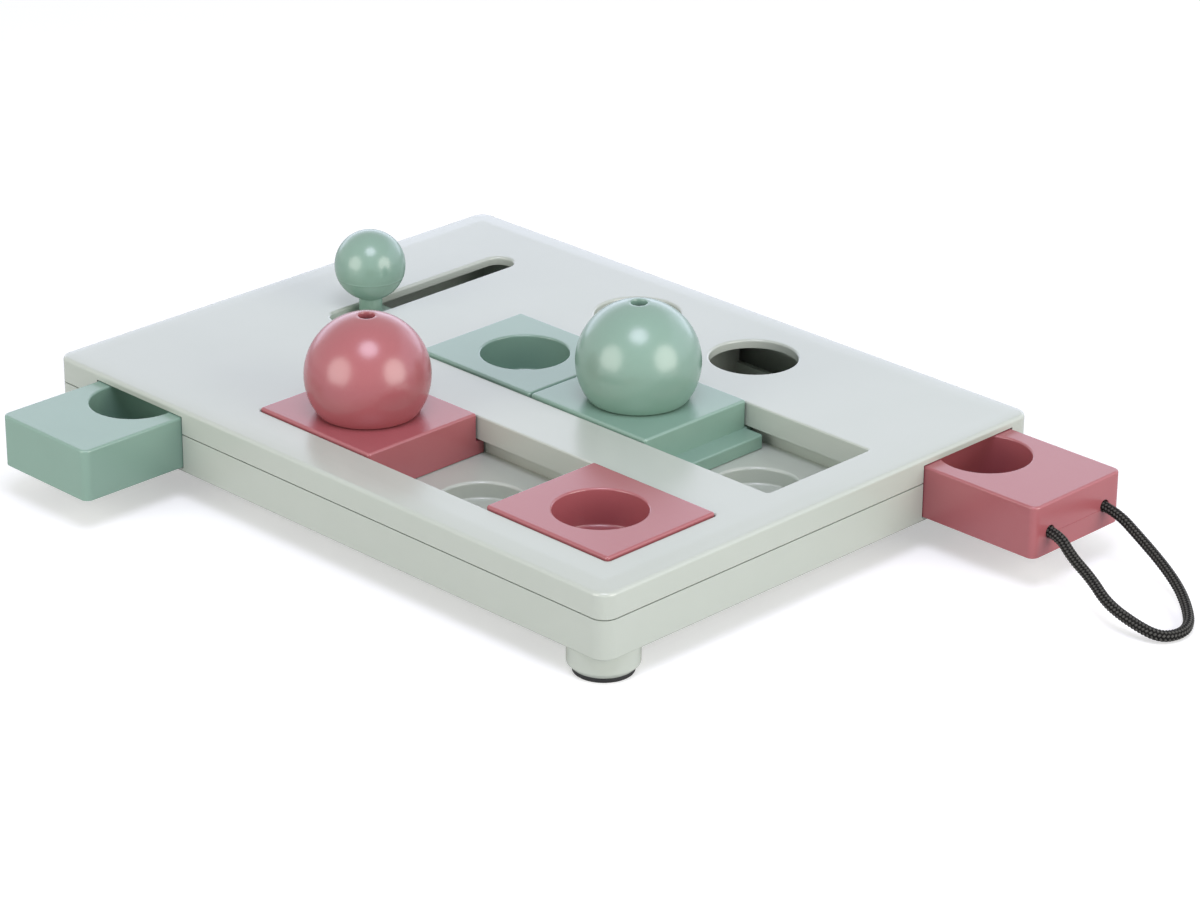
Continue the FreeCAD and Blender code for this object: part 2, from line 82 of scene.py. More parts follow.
def selectParts(piece, kind, test):    # leaves the piece in edit mode with what passes the test selected
    makeActive(piece)
    bpy.ops.object.mode_set(mode="EDIT")
    bpy.ops.mesh.select_mode(type=kind)
    bpy.ops.mesh.select_all(action="DESELECT")
    bpy.ops.object.mode_set(mode="OBJECT")
    if kind == "EDGE":
        points = piece.data.vertices
        for edge in piece.data.edges:
            a, b = (points[i].co / mm for i in edge.vertices)
            edge.select = test(a, b)
    else:
        for face in piece.data.polygons:
            face.select = test(face.center / mm, face.normal)
    bpy.ops.object.mode_set(mode="EDIT")


def bevelEdges(piece, width, steps, test):
    selectParts(piece, "EDGE", test)
    bpy.ops.mesh.bevel(offset=width * mm, segments=steps, affect="EDGES", clamp_overlap=False)
    bpy.ops.object.mode_set(mode="OBJECT")


def upright(a, b):
    return hypot(a.x - b.x, a.y - b.y) < oneSpot


def levelAt(z):
    return lambda a, b: abs(a.z - z) < onLevel and abs(b.z - z) < onLevel


def levelWithin(z, x, y, length, width):    # level edges inside a rectangle about x and y
    def inside(p):
        return abs(p.x - x) < length / 2 + onLevel and abs(p.y - y) < width / 2 + onLevel
    return lambda a, b: inside(a) and inside(b) and levelAt(z)(a, b)


def topAt(z):    # faces that look up at that height
    return lambda middle, normal: normal.z > 0.9 and middle.z > z - onLevel


def addBlock(name, low, high, corner=0, steps=8):
    deselectAll()
    low, high = Vector(low) * mm, Vector(high) * mm
    bpy.ops.mesh.primitive_cube_add(size=1, location=(low + high) / 2, scale=high - low)
    applyPlace()
    piece = bpy.context.object
    piece.name = name
    if corner:
        bevelEdges(piece, corner, steps, upright)
    return piece


def addBlockAt(name, x, y, length, width, z0, z1, corner=0, steps=8):
    return addBlock(name, (x - length / 2, y - width / 2, z0), (x + length / 2, y + width / 2, z1),
                    corner, steps)


def addDrum(name, x, y, radius, z0, z1, sides=96):
    deselectAll()
    bpy.ops.mesh.primitive_cylinder_add(vertices=sides, radius=radius * mm, depth=(z1 - z0) * mm,
                                        location=(x * mm, y * mm, (z0 + z1) / 2 * mm))
    applyPlace()
    bpy.context.object.name = name
    return bpy.context.object


def arc(middleOut, middleUp, radius, fromAngle, toAngle, steps):    # points of a profile along an arc
    turns = [radians(fromAngle + (toAngle - fromAngle) * i / steps) for i in range(steps + 1)]
    return [(middleOut + radius * cos(t), middleUp + radius * sin(t)) for t in turns]


def spinProfile(name, x, y, profile, sides=96):    # one point drawn out along the profile, then spun
    deselectAll()
    bpy.ops.mesh.primitive_plane_add(size=mm, location=(0, 0, 0))
    piece = bpy.context.object
    piece.name = name
    bpy.ops.object.mode_set(mode="EDIT")
    bpy.ops.mesh.select_mode(type="VERT")
    bpy.ops.mesh.select_all(action="SELECT")
    bpy.ops.mesh.merge(type="CENTER")
    bpy.ops.transform.translate(value=((x + profile[0][0]) * mm, y * mm, profile[0][1] * mm))
    for before, after in zip(profile, profile[1:]):
        step = ((after[0] - before[0]) * mm, 0, (after[1] - before[1]) * mm)
        bpy.ops.mesh.extrude_region_move(TRANSFORM_OT_translate={"value": step})
    bpy.ops.mesh.select_all(action="SELECT")
    bpy.ops.mesh.spin(steps=sides, angle=2 * pi, center=(x * mm, y * mm, 0), axis=(0, 0, 1))
    bpy.ops.mesh.select_all(action="SELECT")
    bpy.ops.mesh.remove_doubles(threshold=oneSpot * mm)
    bpy.ops.mesh.normals_make_consistent(inside=False)
    bpy.ops.object.mode_set(mode="OBJECT")
    return piece


def joinPieces(pieces):
    deselectAll()
    for piece in pieces:
        piece.select_set(True)
    bpy.context.view_layer.objects.active = pieces[0]
    if len(pieces) > 1:
        bpy.ops.object.join()
    return pieces[0]


def combine(piece, others, operation):    # the others don't overlap each other
    tool = joinPieces(others)
    makeActive(piece)
    step = piece.modifiers.new("combine", "BOOLEAN")
    step.object = tool
    step.operation = operation
    step.solver = "EXACT"
    bpy.ops.object.modifier_apply(modifier=step.name)
    bpy.data.objects.remove(tool)
    return piece


def cut(piece, *others):
    return combine(piece, list(others), "DIFFERENCE")


def unite(piece, *others):
    return combine(piece, list(others), "UNION")


def settle(piece, angle=32):    # merged, outward, and smooth over its rounded edges
    makeActive(piece)
    bpy.ops.object.mode_set(mode="EDIT")
    bpy.ops.mesh.select_all(action="SELECT")
    bpy.ops.mesh.remove_doubles(threshold=oneSpot * mm)
    bpy.ops.mesh.normals_make_consistent(inside=False)
    bpy.ops.object.mode_set(mode="OBJECT")
    bpy.ops.object.shade_smooth_by_angle(angle=radians(angle))
    weigh = piece.modifiers.new("even light", "WEIGHTED_NORMAL")
    weigh.keep_sharp = True
    bpy.ops.object.modifier_apply(modifier=weigh.name)
    return piece


def copyPiece(source, name, x, y, turned=False):    # a copy with its own mesh, moved from the origin
    piece = source.copy()
    piece.data = source.data.copy()
    piece.name = name
    bpy.context.scene.collection.objects.link(piece)
    makeActive(piece)
    if turned:
        bpy.ops.transform.rotate(value=pi, orient_axis="Z", center_override=(0, 0, 0))
    bpy.ops.transform.translate(value=(x * mm, y * mm, 0))
    applyPlace()
    return piece


def finish(piece, body, slotName, material, *replaced):
    piece.data.materials.clear()
    piece.data.materials.append(material)
    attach(piece, body)
    if replaced:
        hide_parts(*replaced)


def rimRound(radius, top, rim):    # the rounded rim of a hole, run out just above the surface
    return arc(radius + rim, top - rim + rimLift, rim, 180, 90, 6)


def cupRoom(name, x, y, radius, floor, top, rim, foot=1.0):    # what a round cup leaves empty
    profile = [(0, floor)]
    profile += arc(radius - foot, floor + foot, foot, -90, 0, 4)
    profile += rimRound(radius, top, rim)
    profile += [(radius + rim, top + past), (0, top + past)]
    return spinProfile(name, x, y, profile)


# materials

def linearColour(hexCode):    # sRGB hex to the linear values that the shader takes
    channels = [int(hexCode[i:i + 2], 16) / 255 for i in (1, 3, 5)]
    return [c / 12.92 if c <= 0.04045 else ((c + 0.055) / 1.055) ** 2.4 for c in channels] + [1.0]


def addNode(tree, kind, inputs={}, links={}, **settings):
    node = tree.nodes.new(kind)
    for key, value in settings.items():
        setattr(node, key, value)
    for key, value in inputs.items():
        node.inputs[key].default_value = value
    for key, (source, socket) in links.items():
        tree.links.new(source.outputs[socket], node.inputs[key])
    return node


def newMaterial(name):
    material = bpy.data.materials.new(name)
    material.use_nodes = True
    material.node_tree.nodes.clear()
    return material, material.node_tree


def mouldedAbs(name, colour, deepColour, v):
    # injection moulded ABS: even colour, a fine eroded grain that breaks up the gloss,
    # and a slow drift where the melt flowed
    material, tree = newMaterial(name)
    where = addNode(tree, "ShaderNodeTexCoord")
    drift = addNode(tree, "ShaderNodeTexNoise", {"Scale": 1 / v["driftSize"], "Detail": 3.0},
                    {"Vector": (where, "Object")})
    grain = addNode(tree, "ShaderNodeTexNoise", {"Scale": 1 / v["grainSize"], "Detail": 2.0},
                    {"Vector": (where, "Object")})
    tone = addNode(tree, "ShaderNodeMath", {1: v["grainTone"]}, {0: (grain, "Fac")},
                   operation="MULTIPLY")
    blend = addNode(tree, "ShaderNodeMath", {}, {0: (drift, "Fac"), 1: (tone, "Value")},
                    operation="ADD")
    depth = addNode(tree, "ShaderNodeMapRange", {"From Min": v["deepFrom"],
                                                 "From Max": 1.0 + v["grainTone"]},
                    {"Value": (blend, "Value")})
    base = addNode(tree, "ShaderNodeMix", {"A": linearColour(colour), "B": linearColour(deepColour)},
                   {"Factor": (depth, "Result")}, data_type="RGBA")
    sleek, rough = v["roughness"]
    polish = addNode(tree, "ShaderNodeMapRange", {"To Min": sleek, "To Max": rough},
                     {"Value": (drift, "Fac")})
    bump = addNode(tree, "ShaderNodeBump", {"Strength": v["grainStrength"], "Distance": v["grainDepth"]},
                   {"Height": (grain, "Fac")})
    shader = addNode(tree, "ShaderNodeBsdfPrincipled", {"IOR": v["ior"],
                                                        "Specular IOR Level": v["shine"]},
                     {"Base Color": (base, "Result"), "Roughness": (polish, "Result"),
                      "Normal": (bump, "Normal")})
    addNode(tree, "ShaderNodeOutputMaterial", {}, {"Surface": (shader, "BSDF")})
    return material


absValues = {
    "driftSize": 30 * mm,
    "grainSize": 0.5 * mm,      # drawn coarser than the real 0.1 mm grain, which would not show
    "grainTone": 0.15,
    "grainStrength": 0.25,
    "grainDepth": 0.03 * mm,
    "deepFrom": 0.1,            # the mix of drift and grain at which the deeper colour comes in
    "roughness": (0.21, 0.27),
    "ior": 1.53,
    "shine": 0.7,
}
greyAbs = mouldedAbs("satin moulded ABS, pale grey", "#B7BEB5", "#B1B9AF", absValues)
mintAbs = mouldedAbs("satin moulded ABS, mint", "#7F9F90", "#7A988A", absValues)
pinkAbs = mouldedAbs("satin moulded ABS, dusky pink", "#A25B5F", "#9C545A", absValues)
rubberValues = {
    "speckSize": 0.7 * mm,
    "dark": "#161616",
    "bloom": "#26272A",
    "roughness": (0.55, 0.8),
    "bumpStrength": 0.4,
    "bumpDepth": 0.04 * mm,
    "ior": 1.5,
}


def mouldedRubber(v):
    # thermoplastic rubber pad: near black, matt, with a faint bloom
    material, tree = newMaterial("matt moulded rubber, black")
    where = addNode(tree, "ShaderNodeTexCoord")
    speck = addNode(tree, "ShaderNodeTexNoise", {"Scale": 1 / v["speckSize"], "Detail": 4.0},
                    {"Vector": (where, "Object")})
    tone = addNode(tree, "ShaderNodeMix", {"A": linearColour(v["dark"]), "B": linearColour(v["bloom"])},
                   {"Factor": (speck, "Fac")}, data_type="RGBA")
    sleek, rough = v["roughness"]
    polish = addNode(tree, "ShaderNodeMapRange", {"To Min": sleek, "To Max": rough},
                     {"Value": (speck, "Fac")})
    bump = addNode(tree, "ShaderNodeBump", {"Strength": v["bumpStrength"], "Distance": v["bumpDepth"]},
                   {"Height": (speck, "Fac")})
    shader = addNode(tree, "ShaderNodeBsdfPrincipled", {"IOR": v["ior"]},
                     {"Base Color": (tone, "Result"), "Roughness": (polish, "Result"),
                      "Normal": (bump, "Normal")})
    addNode(tree, "ShaderNodeOutputMaterial", {}, {"Surface": (shader, "BSDF")})
    return material


zincValues = {
    "cloudSize": 1.2 * mm,
    "bright": "#B9BCC0",
    "dull": "#9DA1A6",
    "roughness": (0.25, 0.45),
}


def zincPlate(v):
    # zinc plated screw steel: bright, slightly cloudy, turned rings too fine to show
    material, tree = newMaterial("zinc plated steel")
    where = addNode(tree, "ShaderNodeTexCoord")
    cloud = addNode(tree, "ShaderNodeTexNoise", {"Scale": 1 / v["cloudSize"], "Detail": 3.0},
                    {"Vector": (where, "Object")})
    tone = addNode(tree, "ShaderNodeMix", {"A": linearColour(v["bright"]), "B": linearColour(v["dull"])},
                   {"Factor": (cloud, "Fac")}, data_type="RGBA")
    sleek, rough = v["roughness"]
    polish = addNode(tree, "ShaderNodeMapRange", {"To Min": sleek, "To Max": rough},
                     {"Value": (cloud, "Fac")})
    shader = addNode(tree, "ShaderNodeBsdfPrincipled", {"Metallic": 1.0},
                     {"Base Color": (tone, "Result"), "Roughness": (polish, "Result")})
    addNode(tree, "ShaderNodeOutputMaterial", {}, {"Surface": (shader, "BSDF")})
    return material


braidValues = {
    "filament": 0.0785,     # mm round a strand to a stripe, coarser than the real 0.02 mm
    # dark is the painted shade where a strand dips, light is the painted highlight where it lies on top
    "dark": "#030303",
    "light": "#5E5E5A",
    "dipShadeEnds": 0.5,         # of the swing from -1 under the others to 1 on top, below which a strand is wholly in painted shade
    "groove": 0.55,         # how light the painted shade leaves the gap between two filaments
    "bumpStrength": 0.5,
    "bumpDepth": 0.05 * mm,
    "roughness": 0.5,
    "ior": 1.5,
    "shine": 0.15,
}
waveRepeat = 0.314          # how far apart a wave texture's stripes are at scale 1


def braidedPolyester(v):
    # black braided polyester: each strand is a flat bundle of filaments, with a painted highlight
    # where it lies on top and painted shade where it dips and between its filaments; the braid's map
    # counts the floats along a strand one way, and goes round it in about millimetres the other way
    material, tree = newMaterial("braided polyester, black")
    where = addNode(tree, "ShaderNodeTexCoord")
    fibre = addNode(tree, "ShaderNodeTexWave", {"Scale": waveRepeat / v["filament"], "Distortion": 1.5,
                                                "Detail": 2.0, "Detail Scale": 1.0},
                    {"Vector": (where, "UV")}, wave_type="BANDS", bands_direction="Y")
    parts = addNode(tree, "ShaderNodeSeparateXYZ", {}, {"Vector": (where, "UV")})
    # painted highlight on the top of each float, painted shade where the strand dips under the others
    beat = addNode(tree, "ShaderNodeMath", {1: 2 * pi}, {0: (parts, "X")}, operation="MULTIPLY")
    swing = addNode(tree, "ShaderNodeMath", {}, {0: (beat, "Value")}, operation="COSINE")
    paintedFloatLight = addNode(tree, "ShaderNodeMapRange", {"From Min": v["dipShadeEnds"]}, {"Value": (swing, "Value")})
    # painted shade in the gaps between filaments
    paintedGrooveShade = addNode(tree, "ShaderNodeMapRange", {"To Min": v["groove"]}, {"Value": (fibre, "Fac")})
    lit = addNode(tree, "ShaderNodeMath", {}, {0: (paintedFloatLight, "Result"), 1: (paintedGrooveShade, "Result")},
                  operation="MULTIPLY")
    # the strand's colour runs from painted shade to painted highlight
    tone = addNode(tree, "ShaderNodeMix", {"A": linearColour(v["dark"]), "B": linearColour(v["light"])},
                   {"Factor": (lit, "Value")}, data_type="RGBA")
    bump = addNode(tree, "ShaderNodeBump", {"Strength": v["bumpStrength"], "Distance": v["bumpDepth"]},
                   {"Height": (fibre, "Fac")})
    shader = addNode(tree, "ShaderNodeBsdfPrincipled", {"Roughness": v["roughness"], "IOR": v["ior"],
                                                        "Specular IOR Level": v["shine"]},
                     {"Base Color": (tone, "Result"), "Normal": (bump, "Normal")})
    addNode(tree, "ShaderNodeOutputMaterial", {}, {"Surface": (shader, "BSDF")})
    return material


blackRubber = mouldedRubber(rubberValues)
zincSteel = zincPlate(zincValues)
blackBraid = braidedPolyester(braidValues)
print("materials made")


# top shell: the plate with its channels, round holes and lever slot, and the skirt below it
topLow, topHigh = boxOf("top_shell")
trackX, mintRow = middleOf("mint_track")
rowPlaces = (mintRow, middleOf("pink_track")[1])
screwPlaces = [(-141.05, -36.05), (-141.05, 84.05), (-40.65, -69.95), (61.95, -69.95),
               (10.65, -1.95), (97.35, -1.95), (-60.2, 108.45)]
mouthDeep = 3.2      # how far a drawer's mouth is cut in from the side of both shells
topValues = {
    "corner": 5.0,
    "wall": 2.2,
    "plate": 2.9,
    "skirtBottom": 22.8,
    "slopeWidth": 7.2,
    "slopeDrop": 0.45,
    "slopeBlend": 0.8,
    "cornerLeft": 0.1,                       # of the corner's radius, before it is mitred
    "cornerEdge": 1.0,                       # longest edge that can be a part of what is left
    "edgeRound": 1.2,
    "rebateHeight": 1.4,
    "rebateGap": 0.2,                        # round the lip of the base
    "opening": (154.2, 46.0),
    "openingCorner": 1.2,
    "openingRound": 0.6,
    "rimWall": 2.0,
    "rimDepth": 7.9,
    "postRadius": 3.0,
    "pilotRadius": 1.45,
    "pilotRoof": 1.0,                        # from the end of the pilot hole to the plate
    "holes": [(-40.35, 84.05), (12.15, 84.05)],
    "holeRadius": 14.5,
    "holeRound": 0.8,
    "slot": (-106.3, 8.05, 88.15, 10.4),     # x, near end, far end, width
    "slotRound": 1.0,
    "mintMouth": (-105.25, 21.15),           # middle, half width
    "pinkMouth": (84.05, 21.15),
}


def makeTopShell(v):
    low, high = topLow, topHigh
    shoulder = high.z - v["slopeDrop"]
    under = high.z - v["plate"]
    foot = v["skirtBottom"]
    shell = addBlock("top_shell_moulded", (low.x, low.y, foot), (high.x, high.y, shoulder),
                     v["corner"], 12)
    # the plate rises a little from its edge to a flat field; its slope is round at the corners
    # outside and mitred inside, where the short edges that are left of a corner become one point
    reached = shoulder
    around = v["corner"] - v["cornerLeft"]
    for inward in (around, v["slopeWidth"] - around):
        selectParts(shell, "FACE", topAt(reached))
        bpy.ops.mesh.inset(thickness=inward * mm, depth=0)
        rise = v["slopeDrop"] * inward / v["slopeWidth"]
        bpy.ops.transform.translate(value=(0, 0, rise * mm))
        bpy.ops.object.mode_set(mode="OBJECT")
        reached += rise
        inLevel = levelAt(reached)
        selectParts(shell, "EDGE", lambda a, b: inLevel(a, b) and (a - b).length < v["cornerEdge"])
        bpy.ops.mesh.merge(type="COLLAPSE")
        bpy.ops.object.mode_set(mode="OBJECT")
    bevelEdges(shell, v["slopeBlend"], 3, levelAt(high.z))
    bevelEdges(shell, v["edgeRound"], 6, levelAt(shoulder))
    w = v["wall"]
    cut(shell, addBlock("hollow", (low.x + w, low.y + w, foot - past), (high.x - w, high.y - w, under),
                        v["corner"] - w))
    w = v["wall"] / 2 - v["rebateGap"]
    cut(shell, addBlock("rebate", (low.x + w, low.y + w, foot - past),
                        (high.x - w, high.y - w, foot + v["rebateHeight"]), v["corner"] - w))
    length, width = v["opening"]
    rim = 2 * v["rimWall"]
    unite(shell, *[addBlockAt("rim", trackX, y, length + rim, width + rim, high.z - v["rimDepth"],
                              under + overlap, v["openingCorner"] + v["rimWall"]) for y in rowPlaces])
    unite(shell, *[addDrum("post", x, y, v["postRadius"], low.z, under + overlap, 48)
                   for x, y in screwPlaces])
    cut(shell, *[addDrum("pilot", x, y, v["pilotRadius"], low.z - past, under - v["pilotRoof"], 32)
                 for x, y in screwPlaces])
    cut(shell, *[addBlockAt("channel", trackX, y, length, width, low.z - past, high.z + past,
                            v["openingCorner"], 5) for y in rowPlaces])
    slotX, near, far, slotWide = v["slot"]
    slotY = (near + far) / 2
    roundEnd = slotWide / 2 - 0.01    # a bevel has to stop just short of the middle
    cut(shell, addBlockAt("slot", slotX, slotY, slotWide, far - near, under - past, high.z + past,
                          roundEnd, 24))
    rounds = []
    for x, y in v["holes"]:
        radius, edge = v["holeRadius"], v["holeRound"]
        profile = [(0, under - past), (radius, under - past)]
        profile += rimRound(radius, high.z, edge)
        profile += [(radius + edge, high.z + past), (0, high.z + past)]
        rounds.append(spinProfile("hole", x, y, profile))
    cut(shell, *rounds)
    middle, half = v["mintMouth"]
    cut(shell, addBlock("mouth", (middle - half, low.y - past, low.z - past),
                        (middle + half, low.y + mouthDeep, under)))
    middle, half = v["pinkMouth"]
    cut(shell, addBlock("mouth", (high.x - mouthDeep, middle - half, low.z - past),
                        (high.x + past, middle + half, under)))
    for y in rowPlaces:
        bevelEdges(shell, v["openingRound"], 4, levelWithin(high.z, trackX, y, length, width))
    bevelEdges(shell, v["slotRound"], 5, levelWithin(high.z, slotX, slotY, slotWide, far - near))
    return settle(shell)


finish(makeTopShell(topValues), "housing", "grey_shell", greyAbs, "top_shell")
print("top shell made")


# base shell: the tray with its feet, drawer guides and screw bosses
baseLow, baseHigh = boxOf("base_shell")
baseValues = {
    "bottom": 9.5,
    "floor": 11.0,
    "rim": 22.4,
    "wall": 2.2,
    "corner": 5.0,
    "bottomRound": 0.8,
    "lipTop": 24.0,
    "footRadius": 11.0,
    "footInset": 11.6,
    "footTaper": 1.5,
    "footRound": 0.4,
    "footBreak": [(0.15, -0.1), (0.0, 0.4)],    # in from the foot's side, up from the end of its taper
    "padTop": 1.6,
    "socketRadius": 7.85,
    "socketRoof": 1.6,
    "rooted": 0.7,                              # how far what stands on the floor reaches into it
    "bossRadius": 3.9,
    "screwWay": 1.7,
    "headWell": (3.0, 5.0),                     # radius, depth
    "guideWall": 1.6,
    "guideTop": 28.3,
    "guideStart": 0.2,                          # clear of the tray's wall
    "mintBay": (-126.4, -84.1, 94.55),          # left, right and end of the room for the drawer
    "pinkBay": (62.9, 105.2, -15.15),           # front, back and end
    "ring": (-40.35, 84.05, 14.5),              # x, y, radius
    "catchWindow": (-15.15, 47.15, 15.5, 24.1),    # from x, to x, from z, to z
}
footPlaces = [(x, y) for x in (baseLow.x + baseValues["footInset"], baseHigh.x - baseValues["footInset"])
              for y in (baseLow.y + baseValues["footInset"], baseHigh.y - baseValues["footInset"])]


def makeFoot(x, y, v):
    r, taper, edge = v["footRadius"], v["footTaper"], v["footRound"]
    flat = r - taper - edge / 2
    top = v["bottom"] + v["rooted"]
    profile = [(0, v["padTop"]), (flat, v["padTop"])]
    profile += arc(flat, v["padTop"] + edge, edge, -90, -45, 3)
    profile += [(r - inward, v["padTop"] + taper + up) for inward, up in v["footBreak"]]
    profile += [(r, top), (0, top)]
    return spinProfile("foot", x, y, profile, 72)


def makeBaseShell(v):
    low, high = baseLow, baseHigh
    shell = addBlock("base_shell_moulded", (low.x, low.y, v["bottom"]), (high.x, high.y, v["rim"]),
                     v["corner"], 12)
    bevelEdges(shell, v["bottomRound"], 4, levelAt(v["bottom"]))
    half = v["wall"] / 2
    unite(shell, addBlock("lip", (low.x + half, low.y + half, v["rim"] - past),
                          (high.x - half, high.y - half, v["lipTop"]), v["corner"] - half))
    w = v["wall"]
    cut(shell, addBlock("room", (low.x + w, low.y + w, v["floor"]),
                        (high.x - w, high.y - w, v["lipTop"] + past), v["corner"] - w))
    unite(shell, *[makeFoot(x, y, v) for x, y in footPlaces])
    cut(shell, *[addDrum("socket", x, y, v["socketRadius"], v["padTop"] - past,
                         v["bottom"] - v["socketRoof"], 64) for x, y in footPlaces])
    unite(shell, *[addDrum("boss", x, y, v["bossRadius"], v["bottom"] + v["rooted"], v["rim"], 48)
                   for x, y in screwPlaces])
    cut(shell, *[addDrum("way", x, y, v["screwWay"], v["bottom"] - past, v["rim"] + past, 32)
                 for x, y in screwPlaces])
    radius, depth = v["headWell"]
    cut(shell, *[addDrum("head well", x, y, radius, v["bottom"] - past, v["bottom"] + depth, 40)
                 for x, y in screwPlaces])
    # drawer guides, and the cup under the left round hole
    t, foot, top = v["guideWall"], v["floor"] - v["rooted"], v["guideTop"]
    left, right, end = v["mintBay"]
    near = low.y + w + v["guideStart"]
    unite(shell, addBlock("guide", (left - t, near, foot), (left, end + t, top)),
          addBlock("guide", (right, near, foot), (right + t, end + t, top)))
    unite(shell, addBlock("guide end", (left - t / 2, end, foot), (right + t / 2, end + t, top)))
    front, back, end = v["pinkBay"]
    near = high.x - w - v["guideStart"]
    unite(shell, addBlock("guide", (end - t, front - t, foot), (near, front, top)),
          addBlock("guide", (end - t, back, foot), (near, back + t, top)))
    unite(shell, addBlock("guide end", (end - t, front - t / 2, foot), (end, back + t / 2, top)))
    x0, x1, z0, z1 = v["catchWindow"]
    cut(shell, addBlock("window", (x0, back - past, z0), (x1, back + t + past, z1)))
    x, y, r = v["ring"]
    unite(shell, addDrum("ring", x, y, r + t, foot, top))
    cut(shell, addDrum("ring room", x, y, r, v["floor"], top + past))
    cut(shell, addBlock("mouth", (left, low.y - past, v["floor"]),
                        (right, low.y + mouthDeep, top + past)))
    cut(shell, addBlock("mouth", (high.x - mouthDeep, front, v["floor"]),
                        (high.x + past, back, top + past)))
    return settle(shell)


finish(makeBaseShell(baseValues), "housing", "grey_shell", greyAbs, "base_shell")
print("base shell made")


# feet pads
padValues = {
    "radius": 9.3,
    "thick": 1.6,
    "round": 0.4,
    "plugRadius": 7.8,
    "plugTop": 4.6,
    "plugEdge": 0.3,
}


def makePad(v):
    profile = [(0, 0)] + arc(v["radius"] - v["round"], v["round"], v["round"], -90, 0, 4)
    profile += [(v["radius"], v["thick"]), (v["plugRadius"], v["thick"]),
                (v["plugRadius"], v["plugTop"] - v["plugEdge"]),
                (v["plugRadius"] - v["plugEdge"], v["plugTop"]), (0, v["plugTop"])]
    return settle(spinProfile("pad", 0, 0, profile, 72))


pad = makePad(padValues)
for corner in ("front_left", "front_right", "rear_left", "rear_right"):
    copy = copyPiece(pad, "pad_" + corner, *middleOf("foot_pad_" + corner))
    finish(copy, "housing", "black_rubber", blackRubber, "foot_pad_" + corner)
bpy.data.objects.remove(pad)
print("feet pads made")


# tracks: the raised decks that the blocks slide on, each with three round wells
trackValues = {
    "bottom": 11.0,
    "corner": 1.2,
    "wall": 1.6,
    "wallTop": 28.3,
    "deck": 18.15,
    "deckThick": 1.8,
    "wellRadius": 14.0,
    "wellFloor": 12.5,
    "wellTop": 17.65,         # where its wall ends inside the deck
    "wellRim": 1.0,
    "wellFoot": 0.8,
    "wells": (-51.3, 0.0, 51.3),
}


def makeTrack(nodeName, v):
    low, high = boxOf(nodeName)
    x, y = middleOf(nodeName)
    length, width = high.x - low.x, high.y - low.y
    inside = 2 * v["wall"]
    track = addBlockAt(nodeName + "_moulded", x, y, length, width, v["bottom"], v["wallTop"],
                       v["corner"], 4)
    cut(track, addBlockAt("room", x, y, length - inside, width - inside, v["deck"], v["wallTop"] + past))
    cut(track, addBlockAt("under", x, y, length - inside, width - inside, v["bottom"] - past,
                          v["deck"] - v["deckThick"]))
    for out in v["wells"]:
        unite(track, addDrum("well", x + out, y, v["wellRadius"] + v["wall"], v["bottom"], v["wellTop"]))
        cut(track, cupRoom("well room", x + out, y, v["wellRadius"], v["wellFloor"], v["deck"],
                           v["wellRim"], v["wellFoot"]))
    return settle(track)


for nodeName in ("mint_track", "pink_track"):
    finish(makeTrack(nodeName, trackValues), "housing", "grey_shell", greyAbs, nodeName)
print("tracks made")


# slider blocks: one is modelled at the origin with its long flange towards +X, and four are copied
sliderValues = {
    "length": 51.0,
    "width": 45.4,
    "bottom": 18.45,
    "top": 32.45,
    "corner": 1.0,
    "edge": 0.8,
    "flangeTop": 22.95,
    "flangeEdge": 0.6,
    "sideFlange": 3.4,
    "endFlange": 7.7,
    "wall": 2.0,
    "cupRadius": 14.5,
    "cupWall": 1.6,
    "cupFloor": 20.05,
    "cupRim": 0.7,
}


def makeSlider(v):
    block = addBlockAt("slider", 0, 0, v["length"], v["width"], v["bottom"], v["top"], v["corner"], 5)
    bevelEdges(block, v["edge"], 5, levelAt(v["top"]))
    side = addBlockAt("side flange", 0, 0, v["length"], v["width"] + 2 * v["sideFlange"], v["bottom"],
                      v["flangeTop"], v["corner"], 4)
    bevelEdges(side, v["flangeEdge"], 4, levelAt(v["flangeTop"]))
    unite(block, side)
    end = addBlock("end flange", (0, -v["width"] / 2, v["bottom"]),
                   (v["length"] / 2 + v["endFlange"], v["width"] / 2, v["flangeTop"]), v["corner"], 4)
    bevelEdges(end, v["flangeEdge"], 4, levelAt(v["flangeTop"]))
    unite(block, end)
    inside = 2 * v["wall"]
    cut(block, addBlockAt("hollow", 0, 0, v["length"] - inside, v["width"] - inside, v["bottom"] - past,
                          v["top"] - v["wall"]))
    unite(block, addDrum("cup", 0, 0, v["cupRadius"] + v["cupWall"], v["bottom"],
                         v["top"] - v["wall"] / 2))
    cut(block, cupRoom("cup room", 0, 0, v["cupRadius"], v["cupFloor"], v["top"], v["cupRim"]))
    return settle(block)


slider = makeSlider(sliderValues)
sliderPlaces = [    # node, colour, body, whether its long flange points towards -X
    ("mint_cup_slider", "mint", "mint_cup_block", True),
    ("mint_knob_slider", "mint", "mint_knob_block", False),
    ("pink_knob_slider", "pink", "pink_knob_block", True),
    ("pink_cup_slider", "pink", "pink_cup_block", False),
]
plasticOf = {"mint": mintAbs, "pink": pinkAbs}
for nodeName, colour, body, turned in sliderPlaces:
    low, high = boxOf(nodeName)
    half = sliderValues["length"] / 2
    x = high.x - half if turned else low.x + half
    copy = copyPiece(slider, nodeName + "_moulded", x, (low.y + high.y) / 2, turned)
    finish(copy, body, colour + "_plastic", plasticOf[colour], nodeName)
bpy.data.objects.remove(slider)
print("slider blocks made")


